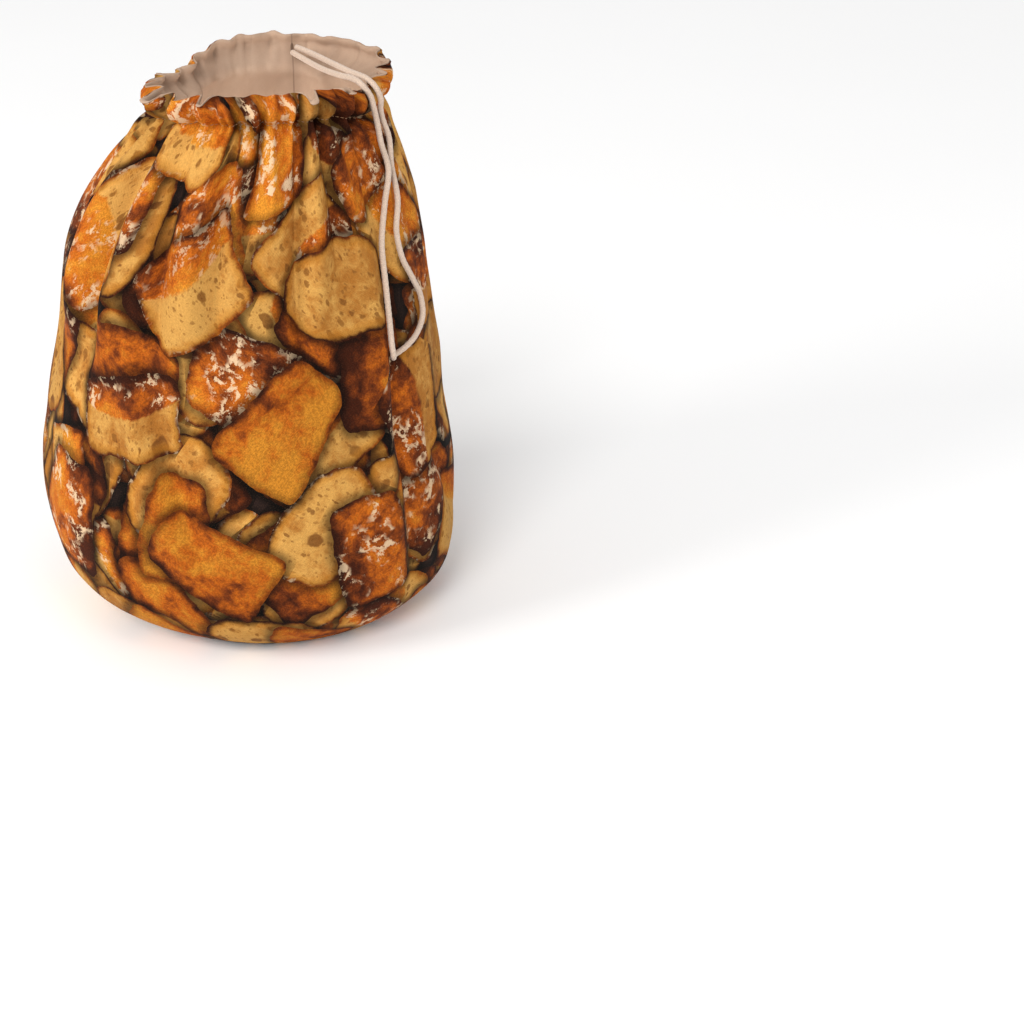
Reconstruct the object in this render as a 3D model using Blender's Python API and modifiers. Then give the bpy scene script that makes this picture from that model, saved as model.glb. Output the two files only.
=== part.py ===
"""Drawstring bread bag: a round-bottomed cloth bag with a gathered mouth, standing open on a table.

The printed wall and base hold a plain lining, and a drawcord leaves the lining at the back, crosses
the mouth and hangs in a loop down the front right. Metres, +Z up, the front towards -Y, and the
origin at the middle of the base where it stands.
"""

import math
from collections import namedtuple

import bmesh
import bpy
import numpy as np

# Driving dimensions
RIM_HEIGHT = 0.348
STITCH_HEIGHT = 0.329  # the seam below the cord's channel
BASE_DEPTH = 0.950  # the base's depth for its width
PRINT_CLOTH_THICK = 0.0012
LINING_THICK = 0.0010
LAYER_GAP = 0.0005
CORD_DIAMETER = 0.0035

# The wall's silhouette: half its width, the sideways lean of its middle, and its depth for its width.
Section = namedtuple("Section", "height radius lean depth")
SECTIONS = [
    Section(0.0055, 0.0945, 0.0000, 0.950),
    Section(0.0110, 0.1040, -0.0025, 0.935),
    Section(0.0200, 0.1155, -0.0055, 0.925),
    Section(0.0350, 0.1245, -0.0095, 0.925),
    Section(0.0600, 0.1292, -0.0122, 0.935),
    Section(0.0950, 0.1312, -0.0142, 0.945),
    Section(0.1400, 0.1240, -0.0126, 0.950),
    Section(0.1900, 0.1166, -0.0086, 0.950),
    Section(0.2350, 0.1102, -0.0068, 0.950),
    Section(0.2700, 0.1002, -0.0025, 0.950),
    Section(0.2960, 0.0892, 0.0020, 0.950),
    Section(0.3160, 0.0775, 0.0055, 0.950),
    Section(0.3290, 0.0695, 0.0080, 0.950),
    Section(0.3395, 0.0712, 0.0090, 0.950),
    Section(0.3480, 0.0698, 0.0095, 0.950),
]

# The open mouth seen from above: how far each side stands from the round, and its rim's height.
MouthPoint = namedtuple("MouthPoint", "angle push rise")
MOUTH = [
    MouthPoint(90.0, -0.002, 0.002),
    MouthPoint(120.0, -0.006, 0.000),
    MouthPoint(148.0, -0.012, -0.007),
    MouthPoint(175.0, -0.003, -0.006),
    MouthPoint(205.0, 0.000, -0.004),
    MouthPoint(240.0, -0.001, 0.000),
    MouthPoint(275.0, -0.002, 0.001),
    MouthPoint(308.0, -0.002, 0.000),
    MouthPoint(330.0, -0.003, -0.0065),
    MouthPoint(350.0, -0.001, -0.002),
    MouthPoint(385.0, 0.002, 0.001),
    MouthPoint(420.0, 0.001, 0.001),
]

# The gathers round the mouth: where the furrow before each one lies, its depth, how far down it
# reaches, and how far the gather's top flares outwards.
Gather = namedtuple("Gather", "angle depth reach flare")
GATHERS = [
    Gather(96.0, 0.0030, 0.040, 0.000),
    Gather(110.0, 0.0036, 0.030, 0.000),
    Gather(126.0, 0.0048, 0.060, 0.001),
    Gather(142.0, 0.0060, 0.030, 0.002),
    Gather(157.0, 0.0070, 0.050, 0.003),
    Gather(170.0, 0.0070, 0.060, 0.004),
    Gather(182.0, 0.0072, 0.070, 0.004),
    Gather(194.0, 0.0085, 0.130, 0.006),
    Gather(214.0, 0.0090, 0.110, 0.006),
    Gather(232.5, 0.0070, 0.060, 0.002),
    Gather(243.5, 0.0055, 0.035, 0.001),
    Gather(254.5, 0.0068, 0.090, 0.000),
    Gather(267.3, 0.0055, 0.050, 0.000),
    Gather(275.5, 0.0050, 0.030, 0.000),
    Gather(284.5, 0.0060, 0.100, 0.001),
    Gather(296.0, 0.0062, 0.100, 0.002),
    Gather(306.5, 0.0058, 0.050, 0.001),
    Gather(316.0, 0.0058, 0.060, 0.001),
    Gather(327.0, 0.0064, 0.080, 0.000),
    Gather(341.0, 0.0070, 0.070, 0.004),
    Gather(355.0, 0.0062, 0.060, 0.004),
    Gather(372.0, 0.0048, 0.040, 0.001),
    Gather(392.0, 0.0042, 0.050, 0.001),
    Gather(415.0, 0.0036, 0.030, 0.000),
    Gather(438.0, 0.0032, 0.040, 0.000),
]

# Long soft folds of the wall: each runs from one angle and height to another, with its width and
# its rise (negative for a trough).
LongFold = namedtuple("LongFold", "from_angle from_height to_angle to_height wide rise")
LONG_FOLDS = [
    LongFold(200.0, 0.320, 205.0, 0.195, 0.020, 0.0045),
    LongFold(211.0, 0.325, 214.0, 0.190, 0.012, -0.0065),
    LongFold(226.0, 0.322, 221.0, 0.180, 0.016, 0.0040),
    LongFold(236.0, 0.320, 240.0, 0.200, 0.010, -0.0040),
    LongFold(246.0, 0.322, 251.0, 0.215, 0.016, 0.0035),
    LongFold(256.0, 0.320, 259.0, 0.190, 0.010, -0.0035),
    LongFold(281.5, 0.325, 283.6, 0.195, 0.010, -0.0040),
    LongFold(308.0, 0.300, 310.5, 0.025, 0.013, 0.0048),
    LongFold(314.3, 0.300, 317.0, 0.025, 0.010, -0.0045),
    LongFold(227.0, 0.222, 253.0, 0.065, 0.014, 0.0034),
    LongFold(234.0, 0.222, 260.0, 0.065, 0.011, -0.0036),
    LongFold(299.0, 0.200, 268.0, 0.163, 0.010, -0.0030),
    LongFold(328.0, 0.140, 350.0, 0.045, 0.012, -0.0030),
    LongFold(10.0, 0.315, 14.0, 0.130, 0.026, -0.0040),
    LongFold(60.0, 0.315, 52.0, 0.100, 0.034, -0.0045),
    LongFold(120.0, 0.320, 128.0, 0.120, 0.030, -0.0050),
    LongFold(160.0, 0.310, 165.0, 0.110, 0.026, 0.0035),
]
FOLD_RADIUS = 0.120  # turns a fold's angles into lengths round the wall

# The cord leaves the lining's slit, spans the mouth and crosses the rim, here in metres...
SpanPoint = namedtuple("SpanPoint", "x y z")
RIGHT_SPAN = [
    SpanPoint(0.0300, 0.0565, 0.3425),
    SpanPoint(0.0345, 0.0470, 0.3430),
    SpanPoint(0.0490, 0.0140, 0.3440),
    SpanPoint(0.0590, -0.0095, 0.3448),
    SpanPoint(0.0640, -0.0208, 0.3456),
    SpanPoint(0.0672, -0.0280, 0.3457),
    SpanPoint(0.0703, -0.0313, 0.3436),
]
LEFT_SPAN = [
    SpanPoint(0.0626, -0.0322, 0.3447),
    SpanPoint(0.0590, -0.0240, 0.3450),
    SpanPoint(0.0535, -0.0105, 0.3430),
    SpanPoint(0.0450, 0.0110, 0.3405),
    SpanPoint(0.0312, 0.0460, 0.3395),
    SpanPoint(0.0272, 0.0560, 0.3395),
]
# ...then hangs on the wall's outside as a loop, from the right strand round to the left one.
HangPoint = namedtuple("HangPoint", "angle height")
LOOP = [
    HangPoint(333.2, 0.3400),
    HangPoint(334.8, 0.3340),
    HangPoint(337.0, 0.3260),
    HangPoint(337.5, 0.3140),
    HangPoint(330.8, 0.2980),
    HangPoint(324.0, 0.2810),
    HangPoint(320.8, 0.2640),
    HangPoint(321.8, 0.2490),
    HangPoint(326.5, 0.2330),
    HangPoint(331.0, 0.2180),
    HangPoint(330.8, 0.2075),
    HangPoint(326.0, 0.1990),
    HangPoint(320.0, 0.1940),
    HangPoint(316.0, 0.1908),
    HangPoint(312.9, 0.1936),
    HangPoint(311.9, 0.2010),
    HangPoint(312.2, 0.2150),
    HangPoint(313.0, 0.2380),
    HangPoint(314.6, 0.2600),
    HangPoint(318.5, 0.2810),
    HangPoint(324.5, 0.2990),
    HangPoint(330.0, 0.3130),
    HangPoint(331.0, 0.3260),
    HangPoint(329.0, 0.3370),
    HangPoint(327.8, 0.3440),
]
CORD_POINTS = 78
CORD_CLEAR = 0.0013

# The base is flat where it stands, and its sewn edge is drawn up.
DishPoint = namedtuple("DishPoint", "radius height")
BASE_DISH = [DishPoint(0.0820, 0.0), DishPoint(0.0878, 0.0012), DishPoint(0.0914, 0.0036)]
LINING_DISH = [DishPoint(0.0816, 0.0017), DishPoint(0.0878, 0.0031), DishPoint(0.0930, 0.0068)]

EASED_WITHIN = 0.170  # below the stitched line the gathered cloth spreads out over this height
MOUTH_SHAPED_FROM = 0.250
FLARE_DROOP = 0.8  # how far a flared gather's top sinks for each unit that it stands out
FURROW_NARROWS = 1.4  # above 1, a furrow is narrower than its ridges
FURROW_FADES = 1.6  # above 1, most of a furrow's depth is lost close to the stitched line
FOLD_FADES = 0.7  # below 1, a long fold keeps its full rise over most of its length
DISH_BEVEL = 0.0004
FINE_STEP = 1.0 / 60.0  # of a gather, for measuring distances from the cloth
ROUTE_STEPS = 1200
BALL_LEVELS = (-0.9, -0.6, -0.3, 0.0, 0.3, 0.6, 0.9)  # shares of a ball's radius
SLOPE_STEP = 0.001

# Points of each gather, and levels of the grids. Both cloths share them, so they lie evenly apart.
GATHER_POINTS = 5
WALL_HEIGHTS = [0.0055, 0.0085, 0.018, 0.042, 0.085, 0.145, 0.210, 0.258, 0.290, 0.314, 0.329, 0.339, 0.348]
LINING_HEIGHTS = WALL_HEIGHTS[1:]
DISH_STEPS = 48

PRINT_CLOTH = ("print_cloth", (0.55, 0.27, 0.09, 1.0), 0.85)
LINING_CLOTH = ("lining_cloth", (0.72, 0.62, 0.52, 1.0), 0.9)
CORD_COTTON = ("cord_cotton", (0.85, 0.78, 0.70, 1.0), 0.85)


def clear_scene():
    for obj in list(bpy.data.objects):
        bpy.data.objects.remove(obj, do_unlink=True)


def material(name, colour, roughness):
    made = bpy.data.materials.new(name)
    made.use_nodes = True
    shader = made.node_tree.nodes["Principled BSDF"]
    shader.inputs["Base Color"].default_value = colour
    shader.inputs["Roughness"].default_value = roughness
    shader.inputs["Metallic"].default_value = 0.0
    return made


def smooth(share):
    share = np.clip(share, 0.0, 1.0)
    return share * share * (3.0 - 2.0 * share)


def along_curve(at, places, values):
    """The values at those places, on a smooth curve through the table's points."""
    places = np.asarray(places, float)
    values = np.asarray(values, float)
    slopes = np.gradient(values, places)
    i = np.clip(np.searchsorted(places, at) - 1, 0, len(places) - 2)
    span = places[i + 1] - places[i]
    t = np.clip((at - places[i]) / span, 0.0, 1.0)
    start = (2 * t**3 - 3 * t**2 + 1) * values[i] + (t**3 - 2 * t**2 + t) * span * slopes[i]
    end = (3 * t**2 - 2 * t**3) * values[i + 1] + (t**3 - t**2) * span * slopes[i + 1]
    return start + end


def round_mouth(angle, column):
    """A column of the mouth's table at each angle, in degrees, all the way round."""
    places = [point.angle for point in MOUTH]
    values = [getattr(point, column) for point in MOUTH]
    places = [places[-1] - 360.0] + places + [places[0] + 360.0, places[1] + 360.0]
    values = [values[-1]] + values + [values[0], values[1]]
    return along_curve(places[1] + (angle - places[1]) % 360.0, places, values)


def gather_edges():
    """The angle at the mouth where each gather starts, in degrees, with the end of the last one."""
    angles = [gather.angle for gather in GATHERS]
    return np.array(angles + [angles[0] + 360.0])


def cloth_edges():
    """The angle low on the wall where each gather starts: a deep gather takes up more cloth."""
    at_mouth = np.radians(np.diff(gather_edges())) * section_at(STITCH_HEIGHT, "radius")
    depth = np.array([gather.depth for gather in GATHERS])
    taken = np.hypot(at_mouth, depth + np.roll(depth, -1))
    return GATHERS[0].angle + 360.0 * np.concatenate([[0.0], np.cumsum(taken)]) / taken.sum()


def section_at(height, column):
    heights = [section.height for section in SECTIONS]
    return along_curve(height, heights, [getattr(section, column) for section in SECTIONS])


def long_fold_rise(angle, height):
    total = np.zeros(len(angle))
    for fold in LONG_FOLDS:
        run = np.array([np.radians(fold.to_angle - fold.from_angle) * FOLD_RADIUS, fold.to_height - fold.from_height])
        turned = (angle - fold.from_angle + 180.0) % 360.0 - 180.0
        around = np.radians(turned) * FOLD_RADIUS
        share = (around * run[0] + (height - fold.from_height) * run[1]) / (run @ run)
        across = (around * run[1] - (height - fold.from_height) * run[0]) / math.hypot(*run)
        fade = np.sin(np.pi * np.clip(share, 0.0, 1.0)) ** FOLD_FADES
        total += fold.rise * fade * np.exp(-((across / fold.wide) ** 2))
    return total


def furrow_kept(spots, height):
    """How much of each furrow's depth is left at that height, from the furrow at its start or its end."""
    depth = np.array([gather.depth for gather in GATHERS])
    reach = np.array([gather.reach for gather in GATHERS])
    nearest = np.round(spots).astype(int) % len(GATHERS)
    below = np.clip((STITCH_HEIGHT - height) / reach[nearest], 0.0, 1.0)
    return depth[nearest] * (1.0 - below) ** FURROW_FADES


def wall_ring(spots, height):
    """One level of the wall's outside. A spot counts gathers round the mouth, whole at each furrow."""
    which = np.floor(spots).astype(int) % len(GATHERS)
    place = (spots % 1.0) * 2.0 - 1.0
    bulge = (1.0 + np.cos(np.pi * place)) / 2.0  # 1 on a gather's ridge and 0 in its furrows
    numbers = np.arange(len(GATHERS) + 1)
    turns = np.floor(spots / len(GATHERS))
    at_mouth = np.interp(spots - turns * len(GATHERS), numbers, gather_edges()) + 360.0 * turns
    on_cloth = np.interp(spots - turns * len(GATHERS), numbers, cloth_edges()) + 360.0 * turns
    angle = at_mouth + (on_cloth - at_mouth) * smooth((STITCH_HEIGHT - height) / EASED_WITHIN)

    out = -furrow_kept(spots, height) * (1.0 - bulge) ** FURROW_NARROWS
    above = smooth((height - STITCH_HEIGHT) / (RIM_HEIGHT - STITCH_HEIGHT))
    flare = np.array([gather.flare for gather in GATHERS])[which] * above * bulge
    near_mouth = smooth((height - MOUTH_SHAPED_FROM) / (RIM_HEIGHT - MOUTH_SHAPED_FROM))
    out += flare + near_mouth * round_mouth(angle, "push") + long_fold_rise(angle, height)
    rise = near_mouth**3 * round_mouth(angle, "rise") - FLARE_DROOP * flare
    turn = np.radians(angle)
    radius = section_at(height, "radius") + out
    x = section_at(height, "lean") + radius * np.cos(turn)
    y = section_at(height, "depth") * radius * np.sin(turn)
    return np.stack([x, y, height + rise], axis=1)


def seen_from_middle(ring, height, directions):
    """How far each of a ring's points reaches along each direction, and how far aside of it."""
    spots = ring[:, :2] - [section_at(height, "lean"), 0.0]
    across = np.stack([-directions[:, 1], directions[:, 0]], axis=1)
    return spots @ directions.T, spots @ across.T


def fine_ring(height):
    return wall_ring(np.arange(0.0, len(GATHERS), FINE_STEP), height)


def inside_ring(spots, height, distance):
    """The same level seen from within, that far inside the cloth everywhere, furrows too."""
    ring = wall_ring(spots, height)
    climb = section_at(height + SLOPE_STEP, "radius") - section_at(height - SLOPE_STEP, "radius")
    climb /= 2.0 * SLOPE_STEP
    distance = distance * math.hypot(1.0, climb)
    middle = np.array([section_at(height, "lean"), 0.0])
    away = ring[:, :2] - middle
    along = away / np.linalg.norm(away, axis=1)[:, None]
    reached, aside = seen_from_middle(fine_ring(height), height, along)
    near = (np.abs(aside) < distance) & (reached > 0.0)
    room = np.where(near, reached - np.sqrt(np.maximum(distance**2 - aside**2, 0.0)), np.inf)
    ring[:, :2] = middle + along * room.min(axis=0)[:, None]
    return ring


def resting_point(angle, height, distance):
    """The place outside the wall, at that angle and height, that is the distance from its cloth."""
    turn = math.radians(angle)
    direction = np.array([[math.cos(turn), section_at(height, "depth") * math.sin(turn)]])
    direction /= np.linalg.norm(direction)
    furthest = 0.0
    for share in BALL_LEVELS:
        level = min(height + share * distance, RIM_HEIGHT)
        reached, aside = seen_from_middle(fine_ring(level), level, direction)
        ball = distance * math.sqrt(1.0 - share**2)
        near = (np.abs(aside) < ball) & (reached > 0.0)
        furthest = max(furthest, (reached[near] + np.sqrt(ball**2 - aside[near] ** 2)).max())
    x, y = direction[0] * furthest
    rise = smooth((height - MOUTH_SHAPED_FROM) / (RIM_HEIGHT - MOUTH_SHAPED_FROM)) ** 3
    rise *= round_mouth(np.array([angle]), "rise")[0]
    return np.array([x + section_at(height, "lean"), y, height + rise])


def cord_route():
    """The cord's middle line, evenly spaced from slit to slit."""
    distance = CORD_DIAMETER / 2.0 + CORD_CLEAR
    hung = [resting_point(point.angle, point.height, distance) for point in LOOP]
    stops = np.array([list(point) for point in RIGHT_SPAN] + hung + [list(point) for point in LEFT_SPAN])
    run = np.concatenate([[0.0], np.cumsum(np.linalg.norm(np.diff(stops, axis=0), axis=1))])
    fine = np.linspace(0.0, run[-1], ROUTE_STEPS)
    curve = np.stack([[along_curve(at, run, stops[:, axis]) for at in fine] for axis in range(3)], axis=1)
    length = np.concatenate([[0.0], np.cumsum(np.linalg.norm(np.diff(curve, axis=0), axis=1))])
    even = np.linspace(0.0, length[-1], CORD_POINTS)
    return np.stack([np.interp(even, length, curve[:, axis]) for axis in range(3)], axis=1)


def cloth_tube(name, heights, outside, thickness, finish, collection):
    """A tube of cloth: up its outer face, over the rim and down its inner face, as one closed grid."""
    spots = np.arange(0.0, len(GATHERS), 1.0 / GATHER_POINTS)
    outer = [inside_ring(spots, height, outside) if outside else wall_ring(spots, height) for height in heights]
    inner = [inside_ring(spots, height, outside + thickness) for height in heights]
    rows = np.array(outer + inner[::-1])
    n_rows, n_columns = rows.shape[:2]
    shape = bmesh.new()
    bmesh.ops.create_grid(shape, x_segments=n_columns, y_segments=n_rows, size=1.0)
    # Every face is split the same way as it lies on the bag, so that the two cloths stay parallel.
    outer_faces = [face for face in shape.faces if face.calc_center_median().y < 0.0]
    inner_faces = [face for face in shape.faces if face.calc_center_median().y >= 0.0]
    bmesh.ops.triangulate(shape, faces=outer_faces, quad_method="FIXED")
    bmesh.ops.triangulate(shape, faces=inner_faces, quad_method="ALTERNATE")
    for vert in shape.verts:
        column = round((vert.co.x + 1.0) / 2.0 * n_columns) % n_columns
        row = round((vert.co.y + 1.0) / 2.0 * n_rows) % n_rows
        vert.co = rows[row, column]
    bmesh.ops.remove_doubles(shape, verts=shape.verts, dist=1e-6)
    mesh = bpy.data.meshes.new(name)
    shape.to_mesh(mesh)
    shape.free()
    obj = bpy.data.objects.new(name, mesh)
    collection.objects.link(obj)
    obj.data.materials.append(finish)
    return obj


def dish(name, edge, thickness, finish, collection):
    """A round panel, flat in the middle, whose edge follows the dish's points."""
    top = [(point.radius - DISH_BEVEL, point.height + thickness) for point in edge]
    bottom = [(point.radius, point.height) for point in edge]
    profile = [(0.0, top[0][1])] + top + bottom[::-1] + [(0.0, bottom[0][1])]
    mesh = bpy.data.meshes.new(name)
    links = [(i, i + 1) for i in range(len(profile) - 1)]
    mesh.from_pydata([(radius, 0.0, height) for radius, height in profile], links, [])
    obj = bpy.data.objects.new(name, mesh)
    collection.objects.link(obj)
    obj.data.materials.append(finish)
    turn = obj.modifiers.new("turn", "SCREW")
    turn.steps = turn.render_steps = DISH_STEPS
    turn.use_merge_vertices = True
    turn.merge_threshold = 0.00001
    obj.scale = (1.0, BASE_DEPTH, 1.0)
    return obj


def cord(name, route, finish, collection):
    curve = bpy.data.curves.new(name, "CURVE")
    curve.dimensions = "3D"
    curve.bevel_depth = CORD_DIAMETER / 2.0
    curve.bevel_resolution = 2
    curve.use_fill_caps = True
    line = curve.splines.new("POLY")
    line.points.add(len(route) - 1)
    for point, place in zip(line.points, route):
        point.co = (*place, 1.0)
    obj = bpy.data.objects.new(name, curve)
    collection.objects.link(obj)
    curve.materials.append(finish)
    return obj


def main():
    clear_scene()
    bag = bpy.data.collections.new("bread_bag")
    bpy.context.scene.collection.children.link(bag)
    print_cloth = material(*PRINT_CLOTH)
    lining_cloth = material(*LINING_CLOTH)

    cloth_tube("wall", WALL_HEIGHTS, 0.0, PRINT_CLOTH_THICK, print_cloth, bag)
    dish("base", BASE_DISH, PRINT_CLOTH_THICK, print_cloth, bag)

    outside = PRINT_CLOTH_THICK + LAYER_GAP
    cloth_tube("lining_wall", LINING_HEIGHTS, outside, LINING_THICK, lining_cloth, bag)
    dish("lining_base", LINING_DISH, LINING_THICK, lining_cloth, bag)
    cord("drawcord", cord_route(), material(*CORD_COTTON), bag)


main()
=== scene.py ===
"""Looks of the drawstring bread bag: printed canvas, cream lining, stitching and braided cord."""

import math
import random
from collections import namedtuple

import bmesh
import bpy
import numpy as np
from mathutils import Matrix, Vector, noise


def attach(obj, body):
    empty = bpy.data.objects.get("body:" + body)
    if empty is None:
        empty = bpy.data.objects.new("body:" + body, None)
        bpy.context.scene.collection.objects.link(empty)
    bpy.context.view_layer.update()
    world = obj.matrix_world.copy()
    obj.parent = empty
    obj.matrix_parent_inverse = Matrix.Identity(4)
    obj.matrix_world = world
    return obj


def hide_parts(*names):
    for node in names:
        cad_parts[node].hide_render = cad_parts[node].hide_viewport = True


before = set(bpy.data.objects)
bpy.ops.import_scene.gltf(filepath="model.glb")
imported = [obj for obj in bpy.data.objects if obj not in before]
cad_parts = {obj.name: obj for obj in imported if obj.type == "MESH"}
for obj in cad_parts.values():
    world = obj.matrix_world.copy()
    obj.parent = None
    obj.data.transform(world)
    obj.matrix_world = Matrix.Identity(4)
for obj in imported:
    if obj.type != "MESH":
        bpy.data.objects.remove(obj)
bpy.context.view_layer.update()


def table(columns, rows):
    return [columns(*row) for row in rows]


def column(rows, name):
    return np.array([getattr(row, name) for row in rows])


# Sizes in metres, in the frame of the part
RIM_HEIGHT = 0.348
STITCH_HEIGHT = 0.329
FOOT_HEIGHT = 0.0055
CLOTH_ROUND = 0.800  # the wall's flat width, sewn into a tube
PRINT_CLOTH_THICK = 0.0008
LINING_THICK = 0.0006
LAYER_GAP = 0.0003
CORD_DIAMETER = 0.0035
CORD_CLEAR = 0.0013
CORD_OVER_BAND = 0.0020  # and so much more over the puckered band
BAND_LIFT_FROM = 0.316  # that lift starts at this height...
BAND_LIFT_WITHIN = 0.010  # ...and is full this much above it
CORD_RINGS = 560
CORD_SIDES = 20
BRAID_PITCH = 0.0075
BRAID_STRANDS = 4.0  # ridges wound each way
BRAID_CORE = 0.96  # the braid's mean radius and its ridges, as shares of the cord's
BRAID_RIDGE = 0.075
ROUTE_STEPS = 1200
FINE_STEP = 1.0 / 60.0  # of a gather, where the cord's rest on the wall is sought
BALL_LEVELS = (-0.9, -0.6, -0.3, 0.0, 0.3, 0.6, 0.9)  # of the ball that is rested on the wall

WALL_COLUMNS = 20  # points of each gather
NECK_FROM = 0.235  # the wall's rows stand closer together above this height
LOW_ROW_STEP = 0.0034
NECK_ROW_STEP = 0.0021
RIM_ROWS = 7
HEM_RISE = 0.0003
LINING_EVERY = 2  # the lining takes every second column of the wall, and every second row below its rim
LINING_EDGE = 0.0008  # the lining's turned edge stands this far above or below the print's
LINING_SHOWS_AT = 150.0  # a front lip that curls this tightly shows the lining's edge
BACK_FROM_FRONT = 0.03  # the lining's edge rises from the front to the back over this depth
FOLLOWS_FROM = 0.333  # from here up the lining lies against the print's cloth...
FOLLOWS_WITHIN = 0.006  # ...and it comes to that over this height
LINING_WRINKLE = 0.0034
WRINKLES_FROM = 0.200
WRINKLES_WITHIN = 0.080
WRINKLE_ROUND = 48.0  # wrinkles to a metre, round the lining and up it
WRINKLE_UP = 17.0
LINING_SLACK = 0.004  # below the channel the lining hangs straighter than its cover
SLACK_HEIGHT = 0.290
SLACK_TALL = 0.028

BASE_RINGS = 26
BASE_COLUMNS = 160
BASE_DEPTH = 0.95  # the base's depth for its width
BASE_PRINT_PLACE = (0.31, 0.22)  # where the base's disc lies on the print
BASE_THICK = 0.0009
LINING_FLOOR_THICK = 0.0007
RoundPoint = namedtuple("RoundPoint", "radius height")
BASE_PROFILE = table(RoundPoint, [
    (0.0, 0.0),
    (0.0820, 0.0),
    (0.0878, 0.0012),
    (0.0925, 0.0040),
])
LINING_FLOOR_PROFILE = table(RoundPoint, [
    (0.0, 0.0018),
    (0.0816, 0.0018),
    (0.0878, 0.0031),
    (0.0930, 0.0068),
])

STITCH_PITCH = 0.0031
STITCH_LONG = 0.0023
STITCH_RADIUS = 0.00026
STITCH_JITTER = 0.12  # of the pitch
STITCH_SINKS = (-0.00022, 0.00012, 0.00012, -0.00022)  # each stitch dives in at both ends
STITCH_SIDES = 6
NECK_MIDDLE = 0.008  # the mouth's middle lies this far to the right

SEAM_X = 0.0272  # the lining's seam runs down its back wall here, drawn only as painted shade in the lining's colour
SLIT_Z = 0.3405  # the middle of the seam's open slit, where the cord comes out; its dark opening is painted shade
SLIT_TALL = 0.0034
SLIT_WIDE = 0.0010

# The wall's silhouette: half its width, the sideways lean of its middle, and its depth for its width.
Section = namedtuple("Section", "height radius lean depth")
SECTIONS = table(Section, [
    (0.0055, 0.0945, 0.0000, 0.950),
    (0.0110, 0.1040, -0.0025, 0.935),
    (0.0200, 0.1155, -0.0055, 0.925),
    (0.0350, 0.1245, -0.0095, 0.925),
    (0.0600, 0.1292, -0.0122, 0.935),
    (0.0950, 0.1312, -0.0142, 0.945),
    (0.1400, 0.1240, -0.0126, 0.950),
    (0.1900, 0.1166, -0.0086, 0.950),
    (0.2350, 0.1102, -0.0068, 0.950),
    (0.2700, 0.1002, -0.0025, 0.950),
    (0.2960, 0.0892, 0.0020, 0.950),
    (0.3160, 0.0775, 0.0055, 0.950),
    (0.3290, 0.0695, 0.0080, 0.950),
    (0.3395, 0.0712, 0.0090, 0.950),
    (0.3480, 0.0698, 0.0095, 0.950),
])

# The open mouth seen from above: how far each side stands from the round, and its rim's height.
MouthPoint = namedtuple("MouthPoint", "angle push rise")
MOUTH = table(MouthPoint, [
    (90.0, -0.002, 0.002),
    (120.0, -0.006, 0.000),
    (148.0, -0.012, -0.007),
    (175.0, -0.003, -0.006),
    (205.0, 0.000, -0.004),
    (240.0, -0.001, 0.000),
    (275.0, -0.002, 0.001),
    (308.0, -0.002, 0.000),
    (330.0, -0.003, -0.0065),
    (350.0, -0.001, -0.002),
    (385.0, 0.002, 0.001),
    (420.0, 0.001, 0.001),
])

# The gathers round the mouth: where the furrow before each one lies, its depth, how far down it
# reaches, how far the gather's top flares outwards, and how tightly its lip curls over (per metre).
Gather = namedtuple("Gather", "angle depth reach flare curl")
GATHERS = table(Gather, [
    (96.0, 0.0030, 0.040, 0.000, 60.0),
    (110.0, 0.0036, 0.030, 0.000, 0.0),
    (126.0, 0.0048, 0.060, 0.001, 60.0),
    (142.0, 0.0060, 0.030, 0.002, 120.0),
    (157.0, 0.0062, 0.050, 0.002, 150.0),
    (170.0, 0.0060, 0.060, 0.003, 60.0),
    (182.0, 0.0062, 0.070, 0.002, 160.0),
    (194.0, 0.0085, 0.130, 0.004, 260.0),
    (214.0, 0.0090, 0.110, 0.004, 0.0),
    (232.5, 0.0070, 0.060, 0.002, 240.0),
    (243.5, 0.0055, 0.035, 0.001, 0.0),
    (254.5, 0.0068, 0.090, 0.000, 0.0),
    (267.3, 0.0055, 0.050, 0.000, 0.0),
    (275.5, 0.0050, 0.030, 0.000, 60.0),
    (284.5, 0.0060, 0.100, 0.001, 300.0),
    (296.0, 0.0062, 0.100, 0.001, 0.0),
    (306.5, 0.0058, 0.050, 0.001, 240.0),
    (316.0, 0.0058, 0.060, 0.001, 80.0),
    (327.0, 0.0064, 0.080, 0.000, 0.0),
    (341.0, 0.0070, 0.070, 0.002, 180.0),
    (355.0, 0.0062, 0.060, 0.002, 140.0),
    (372.0, 0.0048, 0.040, 0.001, 100.0),
    (392.0, 0.0042, 0.050, 0.001, 60.0),
    (415.0, 0.0036, 0.030, 0.000, 0.0),
    (438.0, 0.0032, 0.040, 0.000, 60.0),
])
CURL_FROM = 0.3428  # a lip that curls over starts to bend at this height
LIP_TALLER = 0.0022  # and the most tightly curled ones so much lower

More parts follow.
